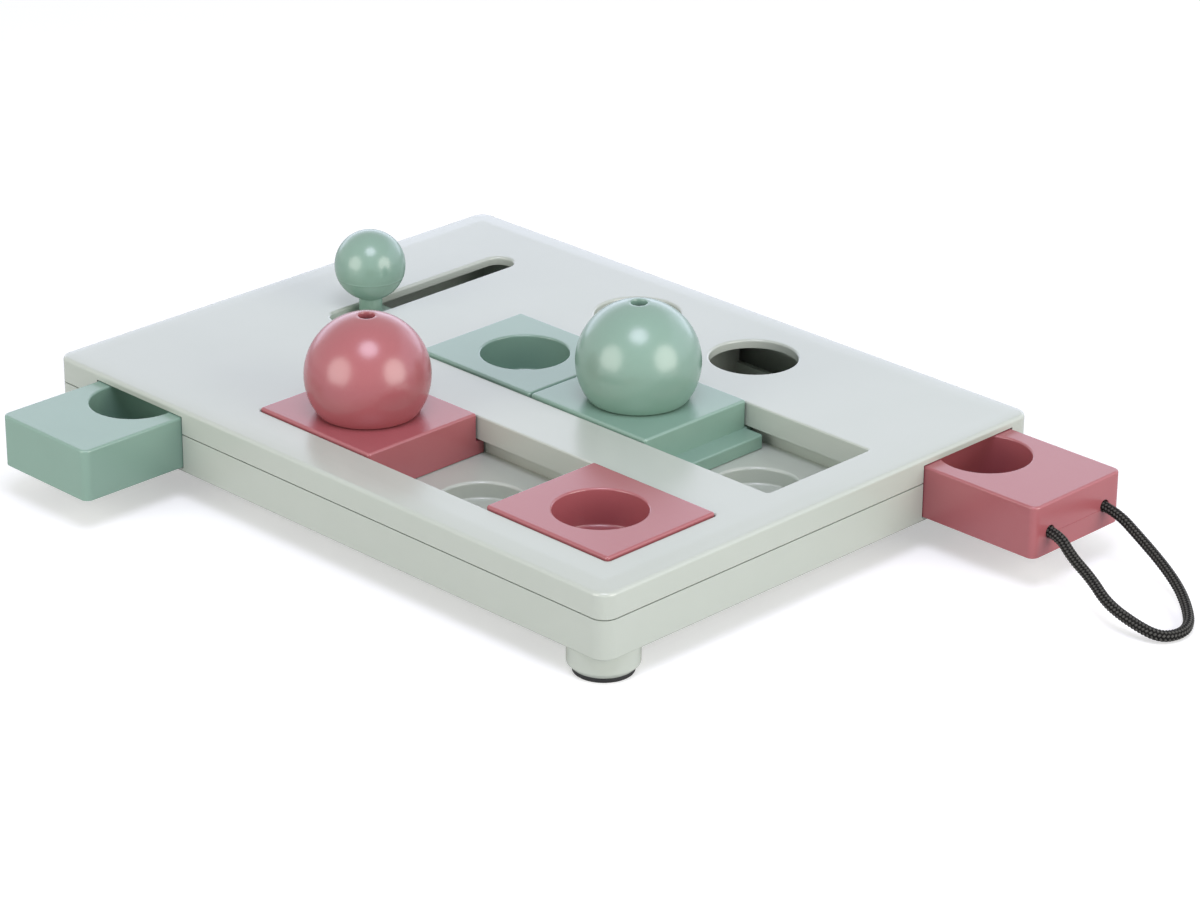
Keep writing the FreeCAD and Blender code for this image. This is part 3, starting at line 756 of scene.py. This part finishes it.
# lift-off balls with their collars
ballValues = {
    "radius": 20.0,
    "wall": 2.2,
    "seatDrop": 12.0,         # how far the flat seat lies under the middle
    "seatWall": 2.0,
    "seatRound": 0.35,
    "seatBreak": [(0.25, 0.08), (0.6, 0.0)],    # in from where the round starts, up from the seat
    "mouth": 13.0,
    "scentHole": 2.6,
    "scentBevel": 0.5,
    "scentBreak": (0.12, 0.2),    # out from the hole, down from the crown
    "collarGap": 0.05,
    "collarBore": 11.4,
    "collarHeight": 4.5,
    "collarEdge": 0.3,
    "spigotRadius": 14.1,
    "spigotDepth": 3.5,
    "spigotRound": 0.7,
    "spigotBreak": 0.2,       # of the round, at its middle
}


def makeBall(name, x, y, middle, v):
    r, inner, drop = v["radius"], v["radius"] - v["wall"], v["seatDrop"]
    hole, soft = v["scentHole"], v["seatRound"]
    bevelOut = hole + v["scentBevel"]
    holeTop = degrees(atan2(sqrt(r * r - bevelOut ** 2), bevelOut))
    seatOut = sqrt(r * r - (drop - soft) ** 2)
    seatAngle = -degrees(atan2(drop - soft, seatOut))
    crown, innerCrown = sqrt(r * r - hole * hole), sqrt(inner * inner - hole * hole)
    breakOut, breakDown = v["scentBreak"]
    profile = [(hole, innerCrown), (hole, crown - v["scentBevel"]), (hole + breakOut, crown - breakDown)]
    profile += arc(0, 0, r, holeTop, seatAngle, 48)
    profile += [(seatOut - inward, -drop + up) for inward, up in v["seatBreak"]]
    seatTop = drop - v["seatWall"]
    innerOut = sqrt(inner * inner - seatTop ** 2)
    profile += [(v["mouth"], -drop), (v["mouth"], -seatTop), (innerOut, -seatTop)]
    startAngle = -degrees(atan2(seatTop, innerOut))
    endAngle = degrees(atan2(innerCrown, hole))
    profile += arc(0, 0, inner, startAngle, endAngle, 32)[1:]
    profile = [(out, up + middle) for out, up in profile]
    return settle(spinProfile(name, x, y, profile, 128), 40)


def makeCollar(name, x, y, seat, v):
    outer, spigot, foot = v["mouth"] - v["collarGap"], v["spigotRadius"], seat - v["spigotDepth"]
    bore, edge, top = v["collarBore"], v["collarEdge"], seat + v["collarHeight"]
    turn, soft = v["spigotRound"], v["spigotBreak"]
    profile = [(bore, foot + edge), (bore + edge, foot), (spigot - turn, foot),
               (spigot - soft, foot + soft), (spigot, foot + turn), (spigot, seat), (outer, seat),
               (outer, top), (bore, top), (bore, foot + edge)]
    return settle(spinProfile(name, x, y, profile))


for colour in ("mint", "pink"):
    low, high = boxOf(colour + "_knob_ball")
    x, y = middleOf(colour + "_knob_ball")
    ball = makeBall(colour + "_ball_moulded", x, y, low.z + ballValues["seatDrop"], ballValues)
    finish(ball, colour + "_knob", colour + "_plastic", plasticOf[colour], colour + "_knob_ball")
    collar = makeCollar(colour + "_collar_moulded", x, y, low.z, ballValues)
    finish(collar, colour + "_knob", colour + "_plastic", plasticOf[colour], colour + "_knob_collar")
print("balls made")


# drawers: hollow blocks, open below, each with a round cup near its front
mintLow, mintHigh = boxOf("mint_drawer")
pinkLow, pinkHigh = boxOf("pink_drawer")
leverFoot = boxOf("drawer_lever")[0].z
stemX, stemY = middleOf("drawer_lever")
drawerValues = {
    "bottom": 11.3,
    "top": 28.3,
    "corner": 2.6,
    "edge": 0.8,
    "wall": 2.0,
    "rib": 1.6,
    "ribSpacing": 27.0,
    "spineStart": 15.0,       # from the cup's middle, inside its wall
    "cupRadius": 14.5,
    "cupWall": 1.6,
    "cupFloor": 12.9,
    "cupRim": 0.7,
    "cupInset": 37.0,
    "socketRadius": 3.95,
    "width": 41.6,            # of the corded drawer, without its catch
    "catchLength": 6.0,
    "catchTall": 8.0,
    "catchReach": 1.35,
    "catchEdge": 0.4,
    "cordHole": 1.9,
    "cordHoleRim": 0.35,
    "cordHoleDeep": 4.0,
    "cordHoleSpread": 26.2,
    "cordHoleHeight": 18.5,
    "partingHeight": 17.3,
    "partingWide": 0.4,
    "partingProud": 0.12,
    "partingStart": 2.4,      # from the middle of a hole
}
drawerY = pinkLow.y + drawerValues["width"] / 2
holePlaces = [drawerY + side * drawerValues["cordHoleSpread"] / 2 for side in (-1, 1)]
ribTop = drawerValues["top"] - drawerValues["wall"] / 2


def makeDrawer(name, low, high, cupX, cupY, v):
    drawer = addBlock(name, (low[0], low[1], v["bottom"]), (high[0], high[1], v["top"]), v["corner"], 8)
    bevelEdges(drawer, v["edge"], 5, levelAt(v["top"]))
    w = v["wall"]
    cut(drawer, addBlock("hollow", (low[0] + w, low[1] + w, v["bottom"] - past),
                         (high[0] - w, high[1] - w, v["top"] - w)))
    unite(drawer, addDrum("cup", cupX, cupY, v["cupRadius"] + v["cupWall"], v["bottom"], ribTop))
    return drawer


def cutCup(drawer, cupX, cupY, v):
    cut(drawer, cupRoom("cup room", cupX, cupY, v["cupRadius"], v["cupFloor"], v["top"], v["cupRim"]))


def ribPlaces(count, v):    # from the cup's middle
    return [v["cupRadius"] + v["cupWall"] + v["ribSpacing"] * (i + 0.5) for i in range(count)]


def makeMintDrawer(v):
    low, high = mintLow, mintHigh
    middle, cupY = (low.x + high.x) / 2, low.y + v["cupInset"]
    half, inWall = v["rib"] / 2, v["wall"] / 2
    drawer = makeDrawer("mint_drawer_moulded", low, high, middle, cupY, v)
    unite(drawer, *[addBlock("rib", (low.x + inWall, cupY + out - half, v["bottom"]),
                             (high.x - inWall, cupY + out + half, ribTop)) for out in ribPlaces(3, v)])
    unite(drawer, addBlock("spine", (middle - half, cupY + v["spineStart"], v["bottom"]),
                           (middle + half, high.y - inWall, ribTop)))
    cutCup(drawer, middle, cupY, v)
    unite(drawer, addDrum("socket", stemX, stemY, v["socketRadius"] + v["rib"], leverFoot - v["rib"],
                          ribTop, 48))
    cut(drawer, addDrum("socket room", stemX, stemY, v["socketRadius"], leverFoot, v["top"] + past, 48))
    return settle(drawer)


def addRod(name, x0, x1, y, z, radius, sides=48):    # a drum that lies along X
    deselectAll()
    bpy.ops.mesh.primitive_cylinder_add(vertices=sides, radius=radius * mm, depth=(x1 - x0) * mm,
                                        location=((x0 + x1) / 2 * mm, y * mm, z * mm),
                                        rotation=(0, pi / 2, 0))
    applyPlace()
    bpy.context.object.name = name
    return bpy.context.object


def holeRim(a, b):    # edges of the two cord holes in the drawer's front
    def onRim(p, y):
        out = hypot(p.y - y, p.z - drawerValues["cordHoleHeight"])
        return abs(p.x - pinkHigh.x) < onLevel and abs(out - drawerValues["cordHole"]) < onLevel
    return any(onRim(a, y) and onRim(b, y) for y in holePlaces)


def makePinkDrawer(v):
    low, high, far = pinkLow, pinkHigh, pinkLow.y + v["width"]
    cupX = high.x - v["cupInset"]
    half, inWall = v["rib"] / 2, v["wall"] / 2
    drawer = makeDrawer("pink_drawer_moulded", low, (high.x, far), cupX, drawerY, v)
    unite(drawer, *[addBlock("rib", (cupX - out - half, low.y + inWall, v["bottom"]),
                             (cupX - out + half, far - inWall, ribTop)) for out in ribPlaces(2, v)])
    unite(drawer, addBlock("spine", (low.x + inWall, drawerY - half, v["bottom"]),
                           (cupX - v["spineStart"], drawerY + half, ribTop)))
    catchLow = (v["bottom"] + v["top"]) / 2 - v["catchTall"] / 2
    catch = addBlock("catch", (low.x, far - inWall, catchLow),
                     (low.x + v["catchLength"], far + v["catchReach"], catchLow + v["catchTall"]))
    bevelEdges(catch, v["catchEdge"], 3, lambda a, b: min(a.y, b.y) > far)
    unite(drawer, catch)
    cutCup(drawer, cupX, drawerY, v)
    cut(drawer, *[addRod("cord hole", high.x - v["cordHoleDeep"], high.x + past, y, v["cordHoleHeight"],
                         v["cordHole"]) for y in holePlaces])
    bevelEdges(drawer, v["cordHoleRim"], 3, holeRim)
    # a fine ridge from hole to hole, where the halves of the mould met
    height, start = v["partingHeight"], v["partingStart"]
    unite(drawer, addBlock("parting line", (high.x - inWall, holePlaces[0] + start, height),
                           (high.x + v["partingProud"], holePlaces[1] - start,
                            height + v["partingWide"])))
    return settle(drawer)


finish(makeMintDrawer(drawerValues), "mint_drawer_unit", "mint_plastic", mintAbs, "mint_drawer")
finish(makePinkDrawer(drawerValues), "pink_drawer_unit", "pink_plastic", pinkAbs, "pink_drawer")
print("drawers made")


# lever: a small solid ball on a round stem, with a small fillet between them
leverValues = {
    "radius": 11.8,
    "middle": 46.6,
    "stemRadius": 3.9,
    "stemFoot": 20.3,
    "footEdge": 0.4,
    "fillet": 0.6,
    "partingAngle": -17.5,
    "partingHalf": (0.5, 0.9),    # degrees from its middle to the end of its crest and of its slope
    "partingProud": 0.05,
}


def makeLever(v):
    r, stem, f = v["radius"], v["stemRadius"], v["fillet"]
    edge = v["footEdge"]
    # the fillet touches the stem on one side and the ball on the other
    drop = sqrt((r + f) ** 2 - (stem + f) ** 2)
    touch = degrees(atan2(drop, -(stem + f)))
    line = v["partingAngle"]
    crest, slope = v["partingHalf"]
    profile = [(0, v["stemFoot"]), (stem - edge, v["stemFoot"]), (stem, v["stemFoot"] + edge)]
    profile += arc(stem + f, v["middle"] - drop, f, 180, touch, 5)
    profile += arc(0, v["middle"], r, touch - 180, line - slope, 20)[1:]
    profile += arc(0, v["middle"], r + v["partingProud"], line - crest, line + crest, 2)
    profile += arc(0, v["middle"], r, line + slope, 90, 44)
    return settle(spinProfile("drawer_lever_moulded", stemX, stemY, profile), 40)


finish(makeLever(leverValues), "mint_drawer_unit", "mint_plastic", mintAbs, "drawer_lever")
print("lever made")


# shell screws, seen from below at the bottom of their wells
screwValues = {
    "headRadius": 2.8,
    "headFoot": 12.5,
    "headTop": 14.5,
    "headRound": 0.8,
    "radius": 1.5,
    "tip": 26.5,
    "tipRadius": 0.2,
    "tipLong": 1.2,
    "threadStart": 0.5,       # from the head
    "threadPitch": 1.0,
    "threadDeep": 0.3,
    "threadCrest": (0.3, 0.45),    # its start and its end above a groove
    "threadEnd": 1.5,         # from the tip
    "slotWide": 0.7,
    "slotLong": 3.2,
    "slotDeep": 0.9,
}


def makeScrew(v):
    r, foot, top, edge = v["headRadius"], v["headFoot"], v["headTop"], v["headRound"]
    shank, groove = v["radius"], v["radius"] - v["threadDeep"]
    crestStart, crestEnd = v["threadCrest"]
    profile = [(0, foot)] + arc(r - edge, foot + edge, edge, -90, 0, 5)
    profile += [(r, top), (shank, top)]
    z = top + v["threadStart"]
    while z < v["tip"] - v["threadEnd"]:    # thread, drawn as rings
        profile += [(groove, z), (shank, z + crestStart), (shank, z + crestEnd)]
        z += v["threadPitch"]
    profile += [(groove, v["tip"] - v["tipLong"]), (v["tipRadius"], v["tip"]), (0, v["tip"])]
    screw = spinProfile("screw", 0, 0, profile, 40)
    for length, width in ((v["slotLong"], v["slotWide"]), (v["slotWide"], v["slotLong"])):
        cut(screw, addBlockAt("recess", 0, 0, length, width, foot - past, foot + v["slotDeep"]))
    return settle(screw)


screw = makeScrew(screwValues)
screws = [copyPiece(screw, "screw", x, y) for x, y in screwPlaces]
bpy.data.objects.remove(screw)
shellScrews = joinPieces(screws)
shellScrews.name = "shell_screws_turned"
finish(shellScrews, "housing", "screw_steel", zincSteel, "shell_screws")
print("screws made")


# pull cord: a round braid along one free loop, out of one hole in the drawer and back into the other
cordValues = {
    "diameter": 3.2,
    "pitch": 9.2,              # length of one turn of a strand
    "strandsEachWay": 8,
    "strandSides": 6,
    "strandWidth": 0.74,
    "strandThick": 0.46,
    "strandRound": 2.0,        # mm round a strand, as its map counts them
    "weave": 0.2,              # how far a strand rises and dips as it crosses the others
    "guideSteps": 40,          # of the guide line, between two points of the route
    "spacing": 0.3,            # distance between the rings of points
    "coreRadius": 1.15,
    "coreSides": 12,
    "fullAtStart": 1.04,       # the braid is laid a little looser towards its near hole
    "leanAtEnd": 0.95,
}
cordRoute = [    # out from the drawer's end face, sideways from its middle, height
    (-2.0, -13.1, 18.5), (3.8, -13.2, 18.2), (10.6, -15.7, 14.4), (20.7, -18.4, 11.2),
    (29.9, -22.6, 8.0), (39.5, -22.3, 4.8), (47.9, -20.3, 2.4), (50.5, -13.2, 1.9),
    (48.6, -6.5, 1.9), (42.9, 0.0, 2.9), (35.3, 5.7, 5.2), (25.5, 10.2, 8.2),
    (14.9, 12.4, 12.7), (4.6, 13.0, 18.2), (-2.0, 13.1, 18.5),
]
line = bpy.data.curves.new("cordLine", "CURVE")
line.dimensions = "3D"
line.resolution_u = cordValues["guideSteps"]
spline = line.splines.new("NURBS")
spline.points.add(len(cordRoute) - 1)
for point, (out, side, height) in zip(spline.points, cordRoute):
    point.co = ((pinkHigh.x + out) * mm, (drawerY + side) * mm, height * mm, 1)
spline.order_u = 3
spline.use_endpoint_u = True
guide = bpy.data.objects.new("cord guide", line)
bpy.context.scene.collection.objects.link(guide)


def readSpline(curveObject, spacing):    # evenly spaced points along the smooth line
    bpy.context.view_layer.update()
    mesh = bpy.data.meshes.new_from_object(curveObject)
    raw = [vertex.co.copy() for vertex in mesh.vertices]
    bpy.data.meshes.remove(mesh)
    lengths = [0.0]
    for a, b in zip(raw, raw[1:]):
        lengths.append(lengths[-1] + (b - a).length)
    count = round(lengths[-1] / spacing)
    points, i = [], 0
    for k in range(count + 1):
        target = lengths[-1] * k / count
        while i < len(raw) - 2 and lengths[i + 1] < target:
            i += 1
        share = (target - lengths[i]) / (lengths[i + 1] - lengths[i])
        points.append(raw[i].lerp(raw[i + 1], share))
    return points, lengths[-1]


def framesAlong(points):    # at each point two directions across the line that don't twist
    frames = []
    side = Vector((0, 0, 1))
    for i in range(len(points)):
        along = (points[min(i + 1, len(points) - 1)] - points[max(i - 1, 0)]).normalized()
        side = (side - along * side.dot(along)).normalized()
        frames.append((side.copy(), along.cross(side)))
    return frames


def makeBraid(points, v):
    frames = framesAlong(points)
    step = (points[1] - points[0]).length / mm
    corners, faces, where = [], [], []
    last = len(points) - 1

    def addTube(ringAt, floatAt, sides):    # the points of one ring, in order, and its place in a float
        first = len(corners)
        for i in range(len(points)):
            corners.extend(ringAt(i))
        for i in range(last):
            for k in range(sides):
                n = (k + 1) % sides
                a, b = first + i * sides, first + (i + 1) * sides
                faces.append((a + k, b + k, b + n, a + n))
                run, on = floatAt(i), floatAt(i + 1)
                low, high = v["strandRound"] * k / sides, v["strandRound"] * (k + 1) / sides
                where.append([(run, low), (on, low), (on, high), (run, high)])
        end = first + last * sides
        faces.append(tuple(first + k for k in range(sides)))
        faces.append(tuple(end + k for k in reversed(range(sides))))
        where.extend([[(0, 0)] * sides] * 2)

    def coreRing(i):
        side, over = frames[i]
        return [points[i] + (side * cos(t) + over * sin(t)) * v["coreRadius"] * mm
                for t in (2 * pi * k / v["coreSides"] for k in range(v["coreSides"]))]

    addTube(coreRing, lambda i: 0.5, v["coreSides"])    # the core's map puts it in the painted shade of a strand that dips
    each, sides, half = v["strandsEachWay"], v["strandSides"], v["strandThick"] / 2
    for way in (1, -1):
        for strand in range(each):
            def floatAt(i):    # one float passes over two strands and under two
                crossings = 2 * each * i * step / v["pitch"]
                return crossings / 4 + way * (strand / 2 - 1 / 8) + (1 - way) / 4

            def strandRing(i):
                fullness = v["fullAtStart"] + (v["leanAtEnd"] - v["fullAtStart"]) * i / last
                middle = v["diameter"] / 2 * fullness - half
                turn = 2 * pi * (strand / each + way * i * step / v["pitch"])
                lift = v["weave"] * cos(2 * pi * floatAt(i))
                side, over = frames[i]
                outward = side * cos(turn) + over * sin(turn)
                along = over.cross(side)
                circle = over * cos(turn) - side * sin(turn)
                lean = 2 * pi * middle / v["pitch"]
                across = (circle + along * lean * way).normalized()
                centre = points[i] + outward * (middle + lift) * mm
                return [centre + (across * cos(t) * v["strandWidth"] / 2 + outward * sin(t) * half) * mm
                        for t in (2 * pi * k / sides for k in range(sides))]
            addTube(strandRing, floatAt, sides)
    mesh = bpy.data.meshes.new("pull_cord_braided")
    mesh.from_pydata(corners, [], faces)
    layer = mesh.uv_layers.new(name="along and round")
    flat = [pair for face in where for pair in face]
    for loop, pair in zip(layer.data, flat):
        loop.uv = pair
    braid = bpy.data.objects.new("pull_cord_braided", mesh)
    bpy.context.scene.collection.objects.link(braid)
    makeActive(braid)
    bpy.ops.object.mode_set(mode="EDIT")
    bpy.ops.mesh.select_all(action="SELECT")
    bpy.ops.mesh.normals_make_consistent(inside=False)
    bpy.ops.object.mode_set(mode="OBJECT")
    bpy.ops.object.shade_smooth_by_angle(angle=radians(70))
    return braid


cordPoints, cordLength = readSpline(guide, cordValues["spacing"] * mm)
bpy.data.objects.remove(guide)
braid = makeBraid(cordPoints, cordValues)
finish(braid, "pink_drawer_unit", "black_cord", blackBraid, "pull_cord")
for slot in nodes["cord_knots"].material_slots:
    slot.material = blackBraid
print("cord laid:", round(cordLength / mm, 1), "mm")


# stage, lights and camera
stageValues = {
    "floorSize": 6.0,
    "floorColour": "#DADBDB",
    "floorGlow": 0.42,        # only for the camera: lifts the lit floor to white, and leaves the shadow
    "skyLight": 0.36,         # strength of the white sky as a light
}
deselectAll()
bpy.ops.mesh.primitive_plane_add(size=stageValues["floorSize"], location=(0, 0, 0))
floor = bpy.context.object
floor.name = "floor"
floorPaint, tree = newMaterial("pale matt floor")
matt = addNode(tree, "ShaderNodeBsdfDiffuse", {"Color": linearColour(stageValues["floorColour"])})
glow = addNode(tree, "ShaderNodeEmission", {"Strength": stageValues["floorGlow"]})
ray = addNode(tree, "ShaderNodeLightPath")
both = addNode(tree, "ShaderNodeAddShader")
tree.links.new(matt.outputs["BSDF"], both.inputs[0])
tree.links.new(glow.outputs["Emission"], both.inputs[1])
pick = addNode(tree, "ShaderNodeMixShader", {}, {"Fac": (ray, "Is Camera Ray")})
tree.links.new(matt.outputs["BSDF"], pick.inputs[1])
tree.links.new(both.outputs["Shader"], pick.inputs[2])
addNode(tree, "ShaderNodeOutputMaterial", {}, {"Surface": (pick, "Shader")})
floor.data.materials.append(floorPaint)

world = bpy.data.worlds.new("studio")
bpy.context.scene.world = world
world.use_nodes = True
tree = world.node_tree
tree.nodes.clear()
# white where the camera, a gloss or a clear part sees it, and dimmer as a light
ray = addNode(tree, "ShaderNodeLightPath")
seen = addNode(tree, "ShaderNodeMath", {}, {0: (ray, "Is Camera Ray"), 1: (ray, "Is Glossy Ray")},
               operation="MAXIMUM")
seenAll = addNode(tree, "ShaderNodeMath", {}, {0: (seen, "Value"), 1: (ray, "Is Transmission Ray")},
                  operation="MAXIMUM")
level = addNode(tree, "ShaderNodeMapRange", {"To Min": stageValues["skyLight"], "To Max": 1.0},
                {"Value": (seenAll, "Value")})
sky = addNode(tree, "ShaderNodeBackground", {"Color": (1.0, 1.0, 1.0, 1.0)},
              {"Strength": (level, "Result")})
addNode(tree, "ShaderNodeOutputWorld", {}, {"Surface": (sky, "Background")})

cameraValues = {
    "place": (825.5 * mm, -805.6 * mm, 531.8 * mm),
    "turn": 44.79,         # degrees round the board, from straight in front
    "height": 23.90,       # degrees above the horizon
    "roll": 0.39,
    "focalLength": 120.8,
    "sensor": 36.0,
    "reach": (0.01, 20),   # metres between which it sees
}


def aimFrom(turn, height):    # orientation of something that looks from there at the board
    return Matrix.Rotation(radians(turn), 3, "Z") @ Matrix.Rotation(radians(90 - height), 3, "X")


lensData = bpy.data.cameras.new("camera")
lensData.lens = cameraValues["focalLength"]
lensData.sensor_width = cameraValues["sensor"]
lensData.sensor_fit = "HORIZONTAL"
lensData.clip_start, lensData.clip_end = cameraValues["reach"]
camera = bpy.data.objects.new("camera", lensData)
bpy.context.scene.collection.objects.link(camera)
turned = aimFrom(cameraValues["turn"], cameraValues["height"])
turned = turned @ Matrix.Rotation(radians(cameraValues["roll"]), 3, "Z")
camera.matrix_world = Matrix.Translation(cameraValues["place"]) @ turned.to_4x4()
bpy.context.scene.camera = camera

lampValues = [
    # name, shape, degrees from the camera's side and above the board, distance, width, height,
    # watts, colour
    ("left octabox", "ELLIPSE", -54, 17, 1.1, 0.86, 0.92, 6.7, "#FFFCF6"),
    ("right octabox", "ELLIPSE", 55, 17, 1.1, 0.86, 0.92, 8.3, "#FFFCF6"),
    ("overhead octabox", "ELLIPSE", 3, 68, 1.2, 0.64, 0.64, 6.6, "#ECEAFF"),
    ("back panel, low", "RECTANGLE", 180, 8, 1.6, 3.2, 0.42, 7.4, "#DDE3FF"),
    ("back panel, high", "RECTANGLE", 180, 23, 1.6, 3.2, 0.42, 3.7, "#DDE3FF"),
    ("right back panel", "RECTANGLE", 112, 22, 1.5, 1.8, 1.0, 3.4, "#DDE3FF"),
]
aimPoint = Vector((0.0, 0.0, 0.03))
for name, shape, side, height, distance, width, tall, watts, colour in lampValues:
    light = bpy.data.lights.new(name, "AREA")
    light.shape = shape
    light.size = width
    light.size_y = tall
    light.energy = watts
    light.color = linearColour(colour)[:3]
    lamp = bpy.data.objects.new(name, light)
    bpy.context.scene.collection.objects.link(lamp)
    towards = aimFrom(cameraValues["turn"] + side, height)
    place = aimPoint + towards @ Vector((0, 0, distance))
    lamp.matrix_world = Matrix.Translation(place) @ towards.to_4x4()
bpy.context.scene.view_settings.view_transform = "Standard"
print("stage set")
